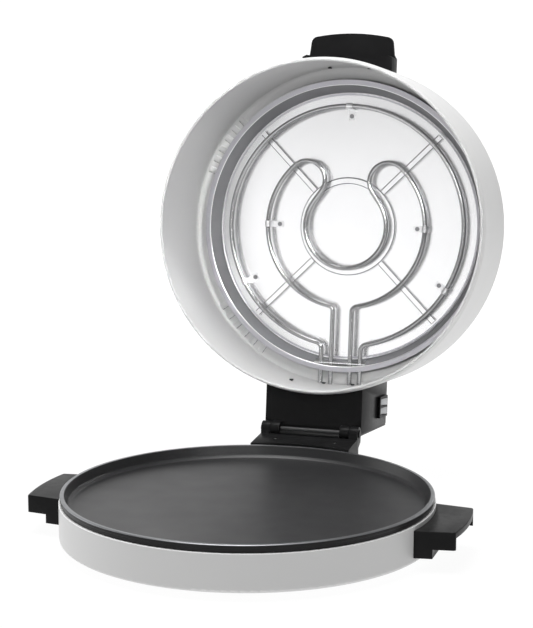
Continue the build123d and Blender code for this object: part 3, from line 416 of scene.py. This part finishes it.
# painted shade: dark steel for the steps of the spider's pressing
step_painted_shade = metal("shaded_edge", (0.15, 0.15, 0.16), (0.19, 0.19, 0.20), (0.40, 0.50),
                   None, 600.0, 0.03)
# bare metal of the lip top, light enough to carry a painted highlight as well
lip_metal_painted_highlight = metal("lip_metal_painted_highlight", (0.25, 0.255, 0.265), (0.29, 0.295, 0.305), (0.34, 0.42),
                  None, 600.0, 0.05)
steel = metal("steel_sheet", (0.50, 0.50, 0.51), (0.60, 0.60, 0.61), (0.28, 0.42),
              (1.0, 6.0, 1.0), 220.0, 0.08)
element = metal("element_steel", (0.48, 0.48, 0.485), (0.55, 0.55, 0.555), (0.20, 0.26),
                None, 500.0, 0.015)
screw = metal("screw_steel", (0.55, 0.55, 0.55), (0.68, 0.68, 0.68), (0.22, 0.36),
              None, 900.0, 0.08)
black_steel = moulded("black_steel", (0.020, 0.020, 0.021), (0.030, 0.030, 0.031),
                      (0.42, 0.52), 900.0, 0.06, spec=0.5)
brass = metal("brass_tab", (0.70, 0.53, 0.25), (0.80, 0.63, 0.34), (0.25, 0.38),
              None, 700.0, 0.06)


def plate_coating():
    """Dark non-stick coating with fine pale flecks."""
    m, nt, bsdf, co = nodes_of("plate_coating")
    flecks = noise(nt, co, 900.0, 2.0, 0.7)
    nt.links.new(ramp(nt, flecks, (0.014, 0.014, 0.015), (0.050, 0.050, 0.053), 0.60, 0.80),
                 bsdf.inputs["Base Color"])
    nt.links.new(span(nt, noise(nt, co, 25.0, 1.0), 0.42, 0.46), bsdf.inputs["Roughness"])
    bsdf.inputs["Specular IOR Level"].default_value = 0.4
    bsdf.inputs["Coat Weight"].default_value = 0.1
    bsdf.inputs["Coat Roughness"].default_value = 0.3
    bump(nt, bsdf, noise(nt, co, 700.0, 2.0), 0.10, 0.0002)
    return m


plate_mat = plate_coating()
# painted shade: a darker copy of the coating for the plate's outer side
plate_side_painted_shade = moulded("plate_side_painted_shade_coating", (0.006, 0.006, 0.0062), (0.010, 0.010, 0.0104),
                     (0.30, 0.38), 700.0, 0.06, 0.0, 0.22)

FINISH = {
    "white_paint": white, "plate_coating": plate_mat, "bright_sheet": mirror_sheet,
    "steel_sheet": steel, "element_steel": element, "screw_steel": screw,
    "black_plastic": black, "black_gloss_plastic": black_gloss,
    "grey_key_plastic": grey_key, "rubber": rubber, "ceramic": ceramic,
    "brass_tab": brass, "terminal_plastic": terminal, "black_steel": black_steel,
}

# every CAD node starts with the finish of its slot
for entry in frame["record"]["subparts"]:
    ob = frame["nodes"][entry["node"]]
    ob.data.materials.clear()
    ob.data.materials.append(FINISH[entry["material_slot"]])
# the reflector ring: its side wall carries painted shade, its bends a painted highlight
ring = copied("reflector_ring", "reflector_ring_drawn", "lid", ring_sheet)
ring.data.materials.append(ring_side_painted_shade)
ring.data.materials.append(ring_bend_painted_highlight)
axis = (Vector(swing((0, 0, 1))) - Vector(swing((0, 0, 0)))).normalized()
for poly in ring.data.polygons:
    tilt = abs(poly.normal.dot(axis))
    if tilt < 0.44:
        poly.material_index = 1
    elif tilt < 0.95:
        poly.material_index = 2

# the rolled rim of the base carries a painted highlight: a bright line of near-white paint
drum = copied("base_shell", "base_shell_rolled", "base", white)
drum.data.materials.append(painted_highlight_white)
for poly in drum.data.polygons:
    c = poly.center / MM
    if c.z > 47.2 and math.hypot(c.x, c.y) > 202.4:
        poly.material_index = 1

# the inside of the roof beyond the reflector gets a lighter copy of the white paint,
# painted light in its shaded channel; the louvre edges get painted highlight and painted
# shade
roof = copied("lid_roof", "lid_roof_pressed", "lid", white)
for extra in (roof_painted_light, painted_highlight_white, louvre_painted_shade):
    roof.data.materials.append(extra)
middle = Vector(swing((0, 0, 0)))
for poly in roof.data.polygons:
    rel = poly.center / MM - middle
    height = rel.dot(axis)
    radius = (rel - height * axis).length
    facing = poly.normal
    if 184.0 < radius < 203.5 and 199.0 < height < 202.4 and facing.dot(axis) < 0.2:
        poly.material_index = 1
        # painted highlight on louvre faces turned up, painted shade on those turned down
        if radius < 200.8 and height < 202.15 and abs(facing.dot(axis)) < 0.75:
            poly.material_index = 2 if facing.z > 0.1 else 3
frame["nodes"]["element_clips"].data.materials[0] = clip_steel
frame["nodes"]["clip_rivets"].data.materials[0] = rivet_steel

# -------------------------------------------------------------- moulded pieces
for node, body, slot, width in (
        ("side_handle_right", "base", "black_plastic", 0.7),
        ("side_handle_left", "base", "black_plastic", 0.7),
        ("hinge_bracket", "base", "black_plastic", 0.5),
        ("hinge_bracket_cover", "base", "black_plastic", 0.4),
        ("upper_hinge_housing", "lid", "black_plastic", 0.5),
        ("upper_housing_cover", "lid", "black_plastic", 0.6),
        ("lid_handle", "lid", "black_plastic", 0.6),
        ("switch_bezel", "lid", "black_gloss_plastic", 0.25),
        ("rocker_key_upper", "key_upper", "grey_key_plastic", 0.45),
        ("rocker_key_lower", "key_lower", "grey_key_plastic", 0.45)):
    softened(node, node + "_moulding", body, FINISH[slot], width)

# ---------------------------------------------------------------- baking plate
def baking_plate():
    """Coated plate: the lip top is bare satin metal whose light tone also stands in as
    painted highlight; the outer side is a darker copy of the coating, painted shade.
    """
    outline = rounded([(0, 41, 0), (193, 41, 2.5), (197.3, 45, 2.0), (198.6, 49.05, 0),
                       (202.4, 49.05, 0), (202.4, 53.0, 0.5), (R_PLATE, 53.6, 0.8),
                       (R_PLATE, Z_PLATE, 1.7), (198.8, Z_PLATE, 1.2), (195.8, 47, 2.5),
                       (192.5, 43.6, 3.0), (0, 43.6, 0)])
    ob = piece("baking_plate_coated", lathe(outline, 300), "base",
               plate_mat, ("baking_plate",), sharp=32.0)
    ob.data.materials.append(lip_metal_painted_highlight)
    ob.data.materials.append(plate_side_painted_shade)
    # lip top: bare metal with painted highlight; outer side: painted shade
    for poly in ob.data.polygons:
        c = poly.center / MM
        if c.z > 56.3 and math.hypot(c.x, c.y) > 199.2:
            poly.material_index = 1
        elif math.hypot(c.x, c.y) > 202.0:
            poly.material_index = 2


baking_plate()


# --------------------------------------------------------------- element spider
def spider():
    """Pressed strip with a raised middle: a ring, four arms and their bent ends."""
    half = 4.5
    across = [(-half, 207.5), (-half, 207.05), (-3.85, 207.0), (-2.85, 206.2),
              (2.85, 206.2), (3.85, 207.0), (half, 207.05), (half, 207.5)]
    parts = [lathe([(58.85 + w * 4.85 / half, z) for w, z in across], 160)]
    for a in (45, 135, 225, 315):
        radial = Vector((*polar(1.0, a), 0.0))
        side = Vector((-radial.y, radial.x, 0.0))
        n = len(across)
        verts = [tuple(radial * r + side * w + Vector((0, 0, z)))
                 for r in (63.3, 166.0) for w, z in across]
        faces = [list(range(n)), list(range(n, 2 * n))]
        faces += [[i, (i + 1) % n, n + (i + 1) % n, n + i] for i in range(n)]
        parts.append((verts, faces))
        foot = prism([(164.8, -half), (166.0, -half), (166.0, half), (164.8, half)],
                     206.9, 209.4)
        parts.append(place(foot, (0, 0, 0), radial, (0, 0, 1)))
    ob = piece("element_spider_pressed", merge(*parts), "lid",
               mirror_sheet, ("element_spider",), lid=True, sharp=20.0)
    # painted shade: the steps of the pressing are dark, drawn as the shade lines along them
    ob.data.materials.append(step_painted_shade)
    axis = (Vector(swing((0, 0, 1))) - Vector(swing((0, 0, 0)))).normalized()
    for poly in ob.data.polygons:
        if abs(poly.normal.dot(axis)) < 0.9:
            poly.material_index = 1


spider()

# ----------------------------------------------------------------------- stage
floor_mat, nt, bsdf, co = nodes_of("studio_floor")
bsdf.inputs["Base Color"].default_value = (0.06, 0.06, 0.06, 1.0)
bsdf.inputs["Roughness"].default_value = 0.9
bsdf.inputs["Specular IOR Level"].default_value = 0.05
bsdf.inputs["Emission Color"].default_value = (1.0, 1.0, 1.0, 1.0)
axes = nt.nodes.new("ShaderNodeSeparateXYZ")
nt.links.new(co, axes.inputs["Vector"])
along = span(nt, axes.outputs["Y"], 0.95, 1.06, 0.1, 1.6)
side = span(nt, axes.outputs["X"], 1.0, 0.65, 0.6, 2.4)
glow = nt.nodes.new("ShaderNodeMath")
glow.operation = "MULTIPLY"
nt.links.new(along, glow.inputs[0])
nt.links.new(side, glow.inputs[1])
nt.links.new(glow.outputs["Value"], bsdf.inputs["Emission Strength"])


def floor_with_sweep():
    """Level floor that turns up in a wide curve far behind and ends in a wall."""
    line = [(-14.0, 0.0), (6.0, 0.0)]
    for i in range(1, 13):
        a = math.radians(90.0 * i / 12)
        line.append((6.0 + 4.0 * math.sin(a), 4.0 - 4.0 * math.cos(a)))
    line.append((10.0, 9.0))
    verts, faces = [], []
    for y, z in line:
        verts += [(-16.0, y, z), (16.0, y, z)]
    for i in range(len(line) - 1):
        faces.append([2 * i, 2 * i + 1, 2 * i + 3, 2 * i + 2])
    mesh = bpy.data.meshes.new("studio_floor")
    mesh.from_pydata(verts, [], faces)
    mesh.materials.append(floor_mat)
    ob = bpy.data.objects.new("studio_floor", mesh)
    scene.collection.objects.link(ob)
    mesh.shade_smooth()


floor_with_sweep()


def pale_surround():
    """Far pale dome that fills the picture where the sweep ends and lights nothing."""
    mat, tree, shader, _ = nodes_of("pale_surround")
    shader.inputs["Base Color"].default_value = (0.0, 0.0, 0.0, 1.0)
    shader.inputs["Emission Color"].default_value = (1.0, 1.0, 1.0, 1.0)
    shader.inputs["Emission Strength"].default_value = 0.95
    ring = [(40.0 * math.cos(math.radians(a)), 40.0 * math.sin(math.radians(a)))
            for a in range(-10, 91, 10)]
    verts, faces = lathe([(max(r, 0.0), z) for r, z in ring], 48, closed=False)
    mesh = bpy.data.meshes.new("pale_surround")
    mesh.from_pydata(verts, [], faces)
    mesh.materials.append(mat)
    ob = bpy.data.objects.new("pale_surround", mesh)
    scene.collection.objects.link(ob)
    mesh.shade_smooth()
    ob.visible_diffuse = False
    ob.visible_glossy = False
    ob.visible_transmission = False
    ob.visible_volume_scatter = False
    ob.visible_shadow = False


pale_surround()

world = bpy.data.worlds.new("studio")
scene.world = world
world.use_nodes = True
world.node_tree.nodes["Background"].inputs["Color"].default_value = (1.0, 1.0, 1.0, 1.0)
world.node_tree.nodes["Background"].inputs["Strength"].default_value = 0.22


def area(name, at, target, size, power, size_y=None):
    data = bpy.data.lights.new(name, "AREA")
    data.shape = "RECTANGLE"
    data.size = size
    data.size_y = size_y or size
    data.energy = power
    ob = bpy.data.objects.new(name, data)
    ob.location = at
    ob.rotation_mode = "QUATERNION"
    ob.rotation_quaternion = (Vector(target) - Vector(at)).to_track_quat("-Z", "Y")
    scene.collection.objects.link(ob)
    return ob


area("overhead", (-0.25, -0.15, 3.0), (0, 0.05, 0.2), 1.6, 78.0)
area("left_side", (-3.0, 0.1, 0.9), (0, 0.1, 0.2), 1.8, 24.0)
area("front_card", (-1.5, -4.6, 0.7), (0, 0.3, 0.35), 2.4, 6.5, 1.4)
# a card that only the bright sheet mirrors
mirror_card = area("mirror_card", (-1.4, -4.6, 0.75), (0, 0.3, 0.35), 2.6, 4.2, 1.5)
mirror_card.visible_diffuse = False
lid_fill = area("lid_fill", (1.35, -1.45, 1.65), (-0.22, 0.36, 0.26), 0.4, 0.34)
lid_fill.data.spread = math.radians(14.0)
lid_front = area("lid_front", (0.60, -1.75, 1.05), (0.0, 0.34, 0.30), 0.4, 0.18)
lid_front.data.spread = math.radians(18.0)
